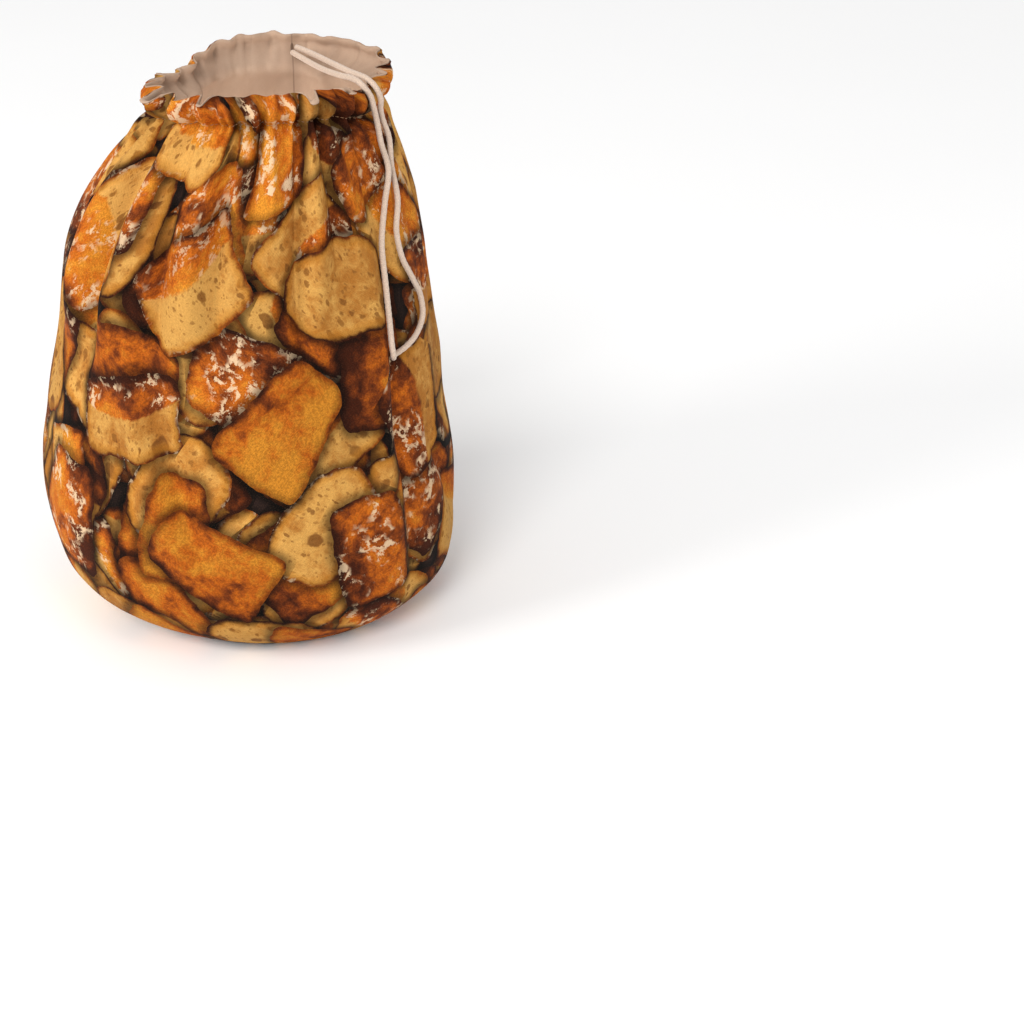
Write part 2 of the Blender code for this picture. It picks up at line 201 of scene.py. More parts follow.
# Long soft folds of the wall: each runs from one angle and height to another, with its width, its
# rise (negative for a trough) and its sharpness (2 is rounded, 1 is a crisp crease).
LongFold = namedtuple("LongFold", "from_angle from_height to_angle to_height wide rise sharpness")
LONG_FOLDS = table(LongFold, [
    (200.0, 0.320, 205.0, 0.195, 0.018, 0.0070, 2.0),
    (211.0, 0.325, 214.0, 0.185, 0.010, -0.0100, 1.4),
    (225.0, 0.322, 221.0, 0.180, 0.013, 0.0075, 2.0),
    (236.0, 0.320, 240.0, 0.195, 0.008, -0.0085, 1.3),
    (246.0, 0.322, 251.0, 0.210, 0.013, 0.0065, 2.0),
    (256.0, 0.320, 259.0, 0.190, 0.008, -0.0070, 1.3),
    (283.0, 0.325, 284.6, 0.190, 0.007, -0.0080, 1.2),
    (289.0, 0.322, 290.0, 0.215, 0.009, 0.0048, 2.0),
    (308.0, 0.300, 310.5, 0.025, 0.012, 0.0062, 1.6),
    (314.8, 0.300, 317.4, 0.025, 0.007, -0.0062, 1.2),
    (226.5, 0.222, 252.5, 0.065, 0.011, 0.0058, 1.7),
    (232.5, 0.222, 258.5, 0.065, 0.006, -0.0055, 1.2),
    (300.0, 0.206, 268.0, 0.163, 0.006, -0.0042, 1.2),
    (301.0, 0.216, 268.0, 0.173, 0.009, 0.0030, 1.8),
    (328.0, 0.140, 350.0, 0.045, 0.008, -0.0045, 1.3),
    (10.0, 0.320, 14.0, 0.130, 0.018, -0.0065, 1.5),
    (60.0, 0.320, 52.0, 0.100, 0.022, -0.0070, 1.5),
    (120.0, 0.322, 128.0, 0.120, 0.018, -0.0080, 1.5),
    (160.0, 0.315, 165.0, 0.110, 0.020, 0.0060, 1.8),
    (25.0, 0.318, 23.0, 0.165, 0.013, 0.0050, 1.8),
    (42.0, 0.322, 38.0, 0.175, 0.008, -0.0050, 1.3),
    (74.0, 0.322, 70.0, 0.160, 0.009, -0.0050, 1.3),
    (82.0, 0.320, 80.0, 0.190, 0.011, 0.0045, 1.8),
    (106.0, 0.322, 110.0, 0.150, 0.012, 0.0050, 1.8),
    (151.0, 0.322, 153.0, 0.185, 0.008, -0.0060, 1.3),
    (183.0, 0.322, 181.0, 0.150, 0.009, -0.0055, 1.3),
    (352.0, 0.320, 350.0, 0.170, 0.009, -0.0045, 1.3),
    # Smaller creases, in the cloth alone
    (219.0, 0.326, 222.0, 0.235, 0.005, -0.0034, 1.3),
    (266.5, 0.330, 268.5, 0.250, 0.005, -0.0034, 1.3),
    (273.5, 0.330, 274.5, 0.270, 0.006, 0.0026, 1.4),
    (297.0, 0.328, 298.0, 0.240, 0.006, -0.0040, 1.3),
    (304.5, 0.325, 302.5, 0.230, 0.008, 0.0030, 1.5),
    (312.0, 0.326, 312.5, 0.262, 0.006, -0.0030, 1.3),
    (322.0, 0.318, 325.0, 0.225, 0.009, 0.0022, 1.6),
    (334.0, 0.312, 337.0, 0.215, 0.010, -0.0022, 1.5),
    (205.0, 0.200, 224.0, 0.110, 0.010, -0.0020, 1.5),
    (240.0, 0.150, 262.0, 0.100, 0.010, -0.0016, 1.4),
    (276.0, 0.120, 300.0, 0.060, 0.012, -0.0016, 1.5),
    (340.0, 0.230, 349.0, 0.120, 0.014, -0.0020, 1.6),
    (190.0, 0.150, 200.0, 0.070, 0.014, -0.0020, 1.6),
    (30.0, 0.300, 36.0, 0.190, 0.014, -0.0024, 1.6),
    (85.0, 0.310, 88.0, 0.150, 0.016, 0.0026, 1.8),
    (100.0, 0.320, 96.0, 0.200, 0.012, -0.0024, 1.5),
    (140.0, 0.315, 146.0, 0.160, 0.016, -0.0030, 1.6),
    (176.0, 0.318, 183.0, 0.180, 0.014, -0.0030, 1.5),
    (20.0, 0.150, 48.0, 0.070, 0.011, -0.0034, 1.4),
    (112.0, 0.150, 84.0, 0.060, 0.011, -0.0036, 1.4),
    (134.0, 0.170, 160.0, 0.085, 0.011, -0.0034, 1.4),
])
FOLD_GAIN = 1.2  # the table's folds are all made this much deeper
FOLD_RADIUS = 0.120  # turns a fold's angles into lengths round the wall
EASED_WITHIN = 0.170  # below the stitched line the gathered cloth spreads out over this height
MOUTH_SHAPED_FROM = 0.250
FLARE_DROOP = 0.8
FURROW_NARROWS = 1.4  # powers: a furrow's shape across, its fading downwards...
FURROW_FADES = 1.2
FOLD_FADES = 0.7  # ...and a long fold's fading to its ends
LIP_ROUND = 0.75  # the ridge's share at which a rolled lip reaches its full curl
CURL_TURNS_OUT = 180.0  # a lip starts to turn right out from this curl...
CURL_TURNED_OUT = 240.0  # ...and does so in full from this one

# Small puckers beside the stitched line: waves round the mouth, with their height in metres
Ripple = namedtuple("Ripple", "waves height turn")
PUCKERS = table(Ripple, [
    (59, 0.0015, 20.0),
    (83, 0.0010, 130.0),
    (37, 0.0014, 75.0),
])
PUCKERS_BELOW = 0.016  # how far the puckers reach below the stitched line
PUCKERS_ABOVE = 0.013
CHANNEL_BULGE = 0.0024
CHANNEL_SWELLS = 0.004  # over this height above the stitched line
CHANNEL_CLOSES = 0.006  # over this height below the rim
STITCH_GROOVE = 0.0034
STITCH_GROOVE_TALL = 0.0034
RIM_WAVE = 0.0008  # how much the rim rises and falls between gathers
RIM_WAVES = 29.0
RIM_SWELLS = 7.0
RIM_SWELL_TURN = 50.0
RIM_OPENS = 0.35  # the loose edge above the channel opens its furrows by this share
RIM_DIP = 0.50  # the front rim dips in its furrows by this share of their depth
DENT_SIZE = 0.045
DENT_HEIGHT = 0.0018
DENT_RING = 0.12  # the radius on which the dents' pattern is drawn
DENT_SQUAT = 0.75
FINE_DENT_SHARE = 0.4
FINE_DENT_SCALE = 2.3
FOOT_LOOSE = 0.35  # the share of the dents that is left at the taut foot
FOOT_TAUT_TO = 0.02
FOOT_TAUT_WITHIN = 0.05

# The cord leaves the lining's slit, spans the mouth and crosses the rim, here in metres...
SpanPoint = namedtuple("SpanPoint", "x y z")
RIGHT_SPAN = table(SpanPoint, [
    (0.0300, 0.0565, 0.3425),
    (0.0345, 0.0470, 0.3430),
    (0.0490, 0.0140, 0.3440),
    (0.0590, -0.0095, 0.3448),
    (0.0640, -0.0208, 0.3456),
    (0.0672, -0.0280, 0.3457),
    (0.0703, -0.0313, 0.3436),
])
LEFT_SPAN = table(SpanPoint, [
    (0.0626, -0.0322, 0.3447),
    (0.0590, -0.0240, 0.3450),
    (0.0535, -0.0105, 0.3430),
    (0.0450, 0.0110, 0.3405),
    (0.0312, 0.0460, 0.3395),
    (0.0272, 0.0560, 0.3395),
])
# ...then hangs on the wall's outside as a loop, from the right strand round to the left one.
HangPoint = namedtuple("HangPoint", "angle height")
LOOP = table(HangPoint, [
    (333.2, 0.3400),
    (334.8, 0.3340),
    (337.0, 0.3260),
    (337.5, 0.3140),
    (330.8, 0.2980),
    (324.0, 0.2810),
    (320.8, 0.2640),
    (321.8, 0.2490),
    (326.5, 0.2330),
    (331.0, 0.2180),
    (330.8, 0.2075),
    (326.0, 0.1990),
    (320.0, 0.1940),
    (316.0, 0.1908),
    (312.9, 0.1936),
    (311.9, 0.2010),
    (312.2, 0.2150),
    (313.0, 0.2380),
    (314.6, 0.2600),
    (318.5, 0.2810),
    (324.5, 0.2990),
    (330.0, 0.3130),
    (331.0, 0.3260),
    (329.0, 0.3370),
    (327.8, 0.3440),
])

# The photograph's view: the camera's place, its turn to the right and its tilt downwards
CAMERA_PLACE = (-0.0105, -1.250, 0.703)
CAMERA_TURN = 7.587
CAMERA_TILT = 27.73
CAMERA_LENS = 75.34
SENSOR = 36.0

# The lamps: soft discs, with their size in metres and their power in watts
Lamp = namedtuple("Lamp", "name place target size power colour")
LAMPS = [
    Lamp("key", (-1.8, -0.7, 1.1), (0.0, 0.0, 0.18), 0.8, 24.0, (1.0, 0.98, 0.95)),
    Lamp("fill", (1.1, -1.5, 0.9), (0.0, 0.0, 0.15), 1.2, 8.0, (0.98, 0.99, 1.0)),
    Lamp("mouth_fill", (0.0, -0.50, 0.78), (0.01, 0.06, 0.29), 0.2, 0.30, (1.0, 0.98, 0.95)),
]
# It stands for the light that comes through the thin cloth into the bag.
INNER_LAMP = Lamp("inner", (0.0, -0.03, 0.19), (0.01, 0.08, 0.30), 0.08, 0.22, (1.0, 0.97, 0.93))
SKY_LIGHT = 0.63
SUN_LIGHT = 1.35
SUN_SOFTNESS = 24.0
SUN_TURN = (50.0, 0.0, -24.0)
FLOOR_REACH = 6.0
FLOOR_DROP = 0.0002

# Colours of the print and the cloths, as linear light
CRUMB_PALE = (0.53, 0.275, 0.066)
CRUMB_GOLD = (0.335, 0.128, 0.021)
HOLE_BROWN = (0.12, 0.036, 0.007)
CRUST_DARK = (0.050, 0.010, 0.003)
CRUST_BROWN = (0.17, 0.034, 0.0055)
CRUST_ORANGE = (0.45, 0.102, 0.007)
CRUST_GOLD = (0.57, 0.213, 0.019)
FLOUR = (0.62, 0.44, 0.27)
GAP_DARK = (0.010, 0.005, 0.004)
BARE_THREAD = (0.40, 0.22, 0.11)  # the unprinted flecks between the inked threads
LINING_CREAM = (0.385, 0.262, 0.186)
LINING_PALE = (0.475, 0.335, 0.242)
SEAM_SHADOW = (0.10, 0.06, 0.04)
CORD_CREAM = (0.66, 0.50, 0.385)
STITCH_BROWN = (0.34, 0.17, 0.07)
FLOOR_WHITE = (0.96, 0.96, 0.96)
FLOOR_PALE = (0.98, 0.98, 0.98)

# Thread pitch and bump depth of the two weaves, in metres
PRINT_WEAVE_PITCH = 0.0009
PRINT_WEAVE_DEPTH = 0.00018
LINING_WEAVE_PITCH = 0.0007
LINING_WEAVE_DEPTH = 0.00016

# The print's layers from the bottom up: the size of a piece's place, in metres, and its scatter
PrintLayer = namedtuple("PrintLayer", "size scatter")
PRINT_LAYERS = table(PrintLayer, [
    (0.062, 0.6),
    (0.068, 1.3),
    (0.074, 2.7),
    (0.080, 4.1),
    (0.086, 5.9),
    (0.090, 8.3),
    (0.096, 9.4),
])

# The crumb's holes: how many to a metre, the share of places left empty, and how dark they are
CrumbHole = namedtuple("CrumbHole", "to_metre left_empty strength")
CRUMB_HOLES = table(CrumbHole, [
    (85.0, 0.62, 0.85),
    (190.0, 0.42, 0.75),
    (430.0, 0.25, 0.50),
])


def smooth(share):
    share = np.clip(share, 0.0, 1.0)
    return share * share * (3.0 - 2.0 * share)


def along_curve(at, places, values):
    """The values at those places, on a smooth curve through the table's points."""
    slopes = np.gradient(values, places)
    i = np.clip(np.searchsorted(places, at) - 1, 0, len(places) - 2)
    span = places[i + 1] - places[i]
    t = np.clip((at - places[i]) / span, 0.0, 1.0)
    start = (2 * t**3 - 3 * t**2 + 1) * values[i] + (t**3 - 2 * t**2 + t) * span * slopes[i]
    end = (3 * t**2 - 2 * t**3) * values[i + 1] + (t**3 - t**2) * span * slopes[i + 1]
    return start + end


def section_at(height, name):
    return along_curve(height, column(SECTIONS, "height"), column(SECTIONS, name))


def round_mouth(angle, name):
    """A column of the mouth's table at each angle, in degrees, all the way round."""
    places = column(MOUTH, "angle")
    values = column(MOUTH, name)
    places = np.concatenate([places[-1:] - 360.0, places, places[:2] + 360.0])
    values = np.concatenate([values[-1:], values, values[:2]])
    return along_curve(places[1] + (angle - places[1]) % 360.0, places, values)


def gather_edges():
    """The angle at the mouth where each gather starts, in degrees, with the end of the last one."""
    angles = column(GATHERS, "angle")
    return np.append(angles, angles[0] + 360.0)


def cloth_edges():
    """The angle low on the wall where each gather starts: a deep gather takes up more cloth."""
    at_mouth = np.radians(np.diff(gather_edges())) * section_at(STITCH_HEIGHT, "radius")
    depth = column(GATHERS, "depth")
    taken = np.hypot(at_mouth, depth + np.roll(depth, -1))
    return GATHERS[0].angle + 360.0 * np.concatenate([[0.0], np.cumsum(taken)]) / taken.sum()


def long_fold_rise(angle, height):
    total = np.zeros(len(angle))
    for fold in LONG_FOLDS:
        aside = np.radians(fold.to_angle - fold.from_angle) * FOLD_RADIUS
        run = np.array([aside, fold.to_height - fold.from_height])
        turned = (angle - fold.from_angle + 180.0) % 360.0 - 180.0
        around = np.radians(turned) * FOLD_RADIUS
        share = (around * run[0] + (height - fold.from_height) * run[1]) / (run @ run)
        across = (around * run[1] - (height - fold.from_height) * run[0]) / math.hypot(*run)
        fade = np.sin(np.pi * np.clip(share, 0.0, 1.0)) ** FOLD_FADES
        total += fold.rise * fade * np.exp(-(np.abs(across / fold.wide) ** fold.sharpness))
    return total


def furrow_kept(spots, height):
    """How much of each furrow's depth is left at that height, from the furrow at its start or its end."""
    depth = column(GATHERS, "depth")
    reach = column(GATHERS, "reach")
    nearest = np.round(spots).astype(int) % len(GATHERS)
    below = np.clip((STITCH_HEIGHT - height) / reach[nearest], 0.0, 1.0)
    return depth[nearest] * (1.0 - below) ** FURROW_FADES


def wall_ring(spots, height, fine=0.0):
    """One level of the wall's outside. A spot counts gathers round the mouth, whole at each furrow.

    fine is 1 for the cloth with its puckers, dents and rolled lips, and 0 for the wall without them,
    on which the cord rests."""
    which = np.floor(spots).astype(int) % len(GATHERS)
    place = (spots % 1.0) * 2.0 - 1.0
    bulge = (1.0 + np.cos(np.pi * place)) / 2.0  # 1 on a gather's ridge and 0 in its furrows
    numbers = np.arange(len(GATHERS) + 1)
    turns = np.floor(spots / len(GATHERS))
    at_mouth = np.interp(spots - turns * len(GATHERS), numbers, gather_edges()) + 360.0 * turns
    on_cloth = np.interp(spots - turns * len(GATHERS), numbers, cloth_edges()) + 360.0 * turns
    angle = at_mouth + (on_cloth - at_mouth) * smooth((STITCH_HEIGHT - height) / EASED_WITHIN)

    furrow = furrow_kept(spots, height) * (1.0 - bulge) ** FURROW_NARROWS
    above = smooth((height - STITCH_HEIGHT) / (RIM_HEIGHT - STITCH_HEIGHT))
    furrow = furrow * (1.0 - fine * RIM_OPENS * above)
    flare = column(GATHERS, "flare")[which] * above * bulge
    near_mouth = smooth((height - MOUTH_SHAPED_FROM) / (RIM_HEIGHT - MOUTH_SHAPED_FROM))
    out = -furrow + flare + near_mouth * round_mouth(angle, "push")
    out = out + FOLD_GAIN * long_fold_rise(angle, height)
    rise = near_mouth**3 * round_mouth(angle, "rise") - FLARE_DROOP * flare
    up = np.full(len(spots), height)
    if fine:
        out = out + fine * small_relief(angle, height)
        curl = column(GATHERS, "curl")[which]
        round_lip = smooth(bulge / LIP_ROUND)
        tight = (curl - CURL_TURNS_OUT) / (CURL_TURNED_OUT - CURL_TURNS_OUT)
        turned_out = smooth(tight) * round_lip
        lip = np.maximum(height - CURL_FROM + LIP_TALLER * turned_out, 0.0)
        bend = np.maximum(curl * round_lip, 1e-3)
        out = out + (1.0 - np.cos(bend * lip)) / bend
        up = up - lip + np.sin(bend * lip) / bend
        up -= RIM_DIP * furrow * above**2 * (1.0 - np.sin(np.radians(angle))) / 2.0
        swell = np.sin(np.radians(angle * RIM_SWELLS + RIM_SWELL_TURN))
        up += RIM_WAVE * above * np.sin(np.radians(angle * RIM_WAVES)) * swell
    turn = np.radians(angle)
    radius = section_at(height, "radius") + out
    x = section_at(height, "lean") + radius * np.cos(turn)
    y = section_at(height, "depth") * radius * np.sin(turn)
    return np.stack([x, y, up + rise], axis=1)


def small_relief(angle, height):
    """Puckers beside the stitched line, the band's bulge over its groove, and shallow dents all over."""
    reach = PUCKERS_BELOW if height < STITCH_HEIGHT else PUCKERS_ABOVE
    beside = math.exp(-(((height - STITCH_HEIGHT) / reach) ** 2))
    relief = np.zeros(len(angle))
    for ripple in PUCKERS:
        relief += ripple.height * np.sin(np.radians(angle * ripple.waves + ripple.turn)) * beside
    swells = smooth((height - STITCH_HEIGHT) / CHANNEL_SWELLS)
    relief += CHANNEL_BULGE * swells * smooth((RIM_HEIGHT - height) / CHANNEL_CLOSES)
    relief -= STITCH_GROOVE * math.exp(-(((height - STITCH_HEIGHT) / STITCH_GROOVE_TALL) ** 2))
    above_foot = float(smooth((height - FOOT_TAUT_TO) / FOOT_TAUT_WITHIN))
    deep = DENT_HEIGHT * (FOOT_LOOSE + (1.0 - FOOT_LOOSE) * above_foot)
    elsewhere = Vector((5.0, 2.0, 9.0))
    for i, turn in enumerate(np.radians(angle)):
        ring_spot = (math.cos(turn) * DENT_RING, math.sin(turn) * DENT_RING, height * DENT_SQUAT)
        spot = Vector(ring_spot) / DENT_SIZE
        relief[i] += deep * noise.noise(spot)
        relief[i] += FINE_DENT_SHARE * deep * noise.noise(spot * FINE_DENT_SCALE + elsewhere)
    return relief


def seen_from_middle(ring, height, directions):
    """How far each of a ring's points reaches along each direction, and how far aside of it."""
    spots = ring[:, :2] - [section_at(height, "lean"), 0.0]
    across = np.stack([-directions[:, 1], directions[:, 0]], axis=1)
    return spots @ directions.T, spots @ across.T


def resting_point(angle, height, distance):
    """The place outside the wall, at that angle and height, that is the distance from its cloth."""
    turn = math.radians(angle)
    direction = np.array([[math.cos(turn), section_at(height, "depth") * math.sin(turn)]])
    direction /= np.linalg.norm(direction)
    furthest = 0.0
    for share in BALL_LEVELS:
        level = min(height + share * distance, RIM_HEIGHT)
        fine_ring = wall_ring(np.arange(0.0, len(GATHERS), FINE_STEP), level)
        reached, aside = seen_from_middle(fine_ring, level, direction)
        ball = distance * math.sqrt(1.0 - share**2)
        near = (np.abs(aside) < ball) & (reached > 0.0)
        furthest = max(furthest, (reached[near] + np.sqrt(ball**2 - aside[near] ** 2)).max())
    x, y = direction[0] * furthest
    rise = smooth((height - MOUTH_SHAPED_FROM) / (RIM_HEIGHT - MOUTH_SHAPED_FROM)) ** 3
    rise *= round_mouth(np.array([angle]), "rise")[0]
    return np.array([x + section_at(height, "lean"), y, height + rise])


def cord_route(n_points):
    """The cord's middle line, evenly spaced from slit to slit."""
    distance = CORD_DIAMETER / 2.0 + CORD_CLEAR
    hung = []
    for point in LOOP:
        lift = CORD_OVER_BAND * smooth((point.height - BAND_LIFT_FROM) / BAND_LIFT_WITHIN)
        hung.append(resting_point(point.angle, point.height, distance + lift))
    stops = np.array(RIGHT_SPAN + hung + LEFT_SPAN)
    run = lengths_along(stops)
    fine = np.linspace(0.0, run[-1], ROUTE_STEPS)
    curve = np.stack([[along_curve(at, run, stops[:, axis]) for at in fine] for axis in range(3)], axis=1)
    length = lengths_along(curve)
    even = np.linspace(0.0, length[-1], n_points)
    return points_at(even, length, curve), length[-1]


def lengths_along(points):
    return np.concatenate([[0.0], np.cumsum(np.linalg.norm(np.diff(points, axis=0), axis=1))])


def points_at(places, run, points):
    return np.stack([np.interp(places, run, points[:, axis]) for axis in range(3)], axis=1)


class Nodes:
    """Short ways to add shader nodes to one node tree."""

    def __init__(self, tree):
        self.tree = tree
        self.links = tree.links

    def add(self, kind, **settings):
        node = self.tree.nodes.new(kind)
        for name, value in settings.items():
            setattr(node, name, value)
        return node

    def put(self, socket, value):
        if isinstance(value, bpy.types.NodeSocket):
            self.links.new(value, socket)
        elif value is not None:
            socket.default_value = value

    def fill(self, node, values):
        for name, value in values.items():
            self.put(node.inputs[name], value)

    def math(self, operation, a, b=None, c=None):
        node = self.add("ShaderNodeMath", operation=operation)
        for socket, value in zip(node.inputs, (a, b, c)):
            self.put(socket, value)
        return node.outputs[0]

    def times(self, a, b):
        return self.math("MULTIPLY", a, b)

    def plus(self, a, b):
        return self.math("ADD", a, b)

    def minus(self, a, b):
        return self.math("SUBTRACT", a, b)

    def times_plus(self, a, b, c):
        return self.math("MULTIPLY_ADD", a, b, c)

    def vector(self, operation, a, b=None, scale=None):
        node = self.add("ShaderNodeVectorMath", operation=operation)
        self.put(node.inputs[0], a)
        if b is not None:
            self.put(node.inputs[1], b)
        if scale is not None:
            self.put(node.inputs["Scale"], scale)
        return node.outputs["Value"] if operation == "LENGTH" else node.outputs["Vector"]

    def split(self, vector):
        node = self.add("ShaderNodeSeparateXYZ")
        self.put(node.inputs[0], vector)
        return node.outputs

    def join(self, x, y, z=0.0):
        node = self.add("ShaderNodeCombineXYZ")
        for socket, value in zip(node.inputs, (x, y, z)):
            self.put(socket, value)
        return node.outputs[0]

    def ramp(self, value, low, high, start=0.0, end=1.0):
        """Smoothly from start to end as the value goes from low to high."""
        node = self.add("ShaderNodeMapRange", interpolation_type="SMOOTHSTEP")
        for socket, given in zip(node.inputs, (value, low, high, start, end)):
            self.put(socket, given)
        return node.outputs[0]

    def dimmed(self, colour, tone):
        return self.mix(1.0, colour, self.join(tone, tone, tone), "MULTIPLY")

    def mix(self, share, a, b, blend="MIX"):
        node = self.add("ShaderNodeMix", data_type="RGBA", blend_type=blend, clamp_result=False)
        self.put(node.inputs[0], share)
        self.put(node.inputs[6], a)
        self.put(node.inputs[7], b)
        return node.outputs[2]

    def noise(self, vector, scale, detail=2.0, rough=0.5):
        node = self.add("ShaderNodeTexNoise")
        self.fill(node, {"Vector": vector, "Scale": scale, "Detail": detail, "Roughness": rough})
        return node.outputs["Fac"], node.outputs["Color"]

    def cells(self, vector, scale):
        node = self.add("ShaderNodeTexVoronoi", feature="F1")
        self.fill(node, {"Vector": vector, "Scale": scale})
        return node.outputs["Distance"], node.outputs["Color"]

    def random(self, vector):
        node = self.add("ShaderNodeTexWhiteNoise", noise_dimensions="3D")
        self.put(node.inputs["Vector"], vector)
        return node.outputs["Color"]

    def colours(self, value, stops):
        node = self.add("ShaderNodeValToRGB")
        self.put(node.inputs[0], value)
        ramp = node.color_ramp
        while len(ramp.elements) < len(stops):
            ramp.elements.new(0.5)
        for element, (place, colour) in zip(ramp.elements, stops):
            element.position = place
            element.color = (*colour, 1.0)
        return node.outputs[0]

    def turn(self, vector, angle):
        node = self.add("ShaderNodeVectorRotate", rotation_type="Z_AXIS")
        self.fill(node, {"Vector": vector, "Angle": angle})
        return node.outputs[0]

    def bump(self, height, strength, distance):
        node = self.add("ShaderNodeBump")
        self.fill(node, {"Strength": strength, "Distance": distance, "Height": height})
        return node.outputs[0]


def bread_layer():
    """A node group that lays one scatter of bread pieces over those below it.

    It carries three vectors: the place on the piece and the depth inside its outline, in metres; the
    piece's three random numbers; and the place as shares of its half length and width, with the shade."""
    tree = bpy.data.node_groups.new("bread_pieces", "ShaderNodeTree")
    face = tree.interface
    vectors = ("Place", "Wobble", "Spot", "Draw", "Share")
    for name in vectors:
        face.new_socket(name, in_out="INPUT", socket_type="NodeSocketVector")
    for name in ("Size", "Scatter"):
        face.new_socket(name, in_out="INPUT", socket_type="NodeSocketFloat")
    for name in vectors[2:]:
        face.new_socket(name, in_out="OUTPUT", socket_type="NodeSocketVector")
    n = Nodes(tree)
    given = n.add("NodeGroupInput").outputs
    size, scatter = given["Size"], given["Scatter"]

    shift = n.join(n.times(scatter, 7.31), n.times(scatter, 3.73))
    turned = n.turn(given["Place"], n.times(scatter, 1.9))
    grid = n.vector("ADD", n.vector("DIVIDE", turned, n.join(size, size, 1.0)), shift)
    x, y, _ = n.split(grid)
    row = n.math("FLOOR", y)
    x = n.plus(x, n.times(n.math("FLOORED_MODULO", row, 2.0), 0.5))
    cell = n.join(n.math("FLOOR", x), row, scatter)
    draw = n.random(cell)
    one = n.split(draw)
    two = n.split(n.random(n.vector("ADD", cell, (17.3, 5.1, 9.7))))
    off_x = n.times_plus(two[0], 0.12, 0.44)
    off_y = n.times_plus(two[1], 0.12, 0.44)
    local_x = n.minus(n.math("FRACT", x), off_x)
    local_y = n.minus(n.math("FRACT", y), off_y)
    local = n.join(local_x, local_y)
    local = n.vector("SCALE", local, scale=size)
    local = n.turn(n.vector("ADD", local, given["Wobble"]), n.times(one[2], 6.283))
    along, across, _ = n.split(local)

    # The outline is a rounded box that bulges at its middle and narrows towards one end.
    half_long = n.times(size, n.times_plus(two[2], 0.06, 0.40))
    slim = n.times_plus(n.math("FRACT", n.times(one[0], 7.0)), 0.24, 0.60)
    half_wide = n.times(half_long, slim)
    end = n.math("DIVIDE", along, half_long)
    taper = n.times_plus(n.math("FRACT", n.times(one[1], 9.0)), 0.44, -0.22)
    bulge = n.times_plus(n.times(end, end), -0.13, 1.0)
    wide = n.times(half_wide, n.plus(bulge, n.times(end, taper)))
    is_slice = n.ramp(two[2], 0.64, 0.70)
    corner = n.times(half_wide, n.times_plus(is_slice, 0.58, 0.26))
    past_x = n.minus(n.math("ABSOLUTE", along), n.minus(half_long, corner))
    past_y = n.minus(n.math("ABSOLUTE", across), n.minus(wide, corner))
    outer = n.vector("LENGTH", n.vector("MAXIMUM", n.join(past_x, past_y), (0.0, 0.0, 0.0)))
    inner = n.math("MINIMUM", n.math("MAXIMUM", past_x, past_y), 0.0)
    depth = n.minus(corner, n.plus(outer, inner))
    cover = n.math("GREATER_THAN", depth, 0.0)

    below = n.split(given["Share"])
    shade = n.times(below[2], n.ramp(depth, -0.0085, 0.0, 1.0, 0.30))
    dimmed = n.join(below[0], below[1], shade)
    own = n.join(end, n.math("DIVIDE", across, half_wide), 1.0)
    draws = n.join(one[0], one[1], two[2])
    out = n.add("NodeGroupOutput")
    pairs = (("Spot", given["Spot"], n.join(along, across, depth)), ("Draw", given["Draw"], draws),
             ("Share", dimmed, own))
    for name, under, over in pairs:
        mixed = n.add("ShaderNodeMix", data_type="VECTOR")
        n.put(mixed.inputs[0], cover)
        n.put(mixed.inputs[4], under)
        n.put(mixed.inputs[5], over)
        n.put(out.inputs[name], mixed.outputs[1])
    return tree


def weave_bump(n, place, pitch, depth, strength):
    """A plain weave of that thread pitch, in metres, as a bump."""
    x, y, _ = n.split(place)
    turns = math.pi / pitch
    warp = n.math("SINE", n.times(x, turns))
    weft = n.math("SINE", n.times(y, turns))
    over = n.times(warp, weft)
    slub, _ = n.noise(n.vector("MULTIPLY", place, (1.0, 6.0, 1.0)), 0.12 / pitch, 3.0, 0.6)
    height = n.times_plus(over, 0.5, n.times(slub, 0.9))
    return n.bump(height, strength, depth)


def new_material(name):
    made = bpy.data.materials.new(name)
    made.use_nodes = True
    n = Nodes(made.node_tree)
    return made, n, made.node_tree.nodes["Principled BSDF"]


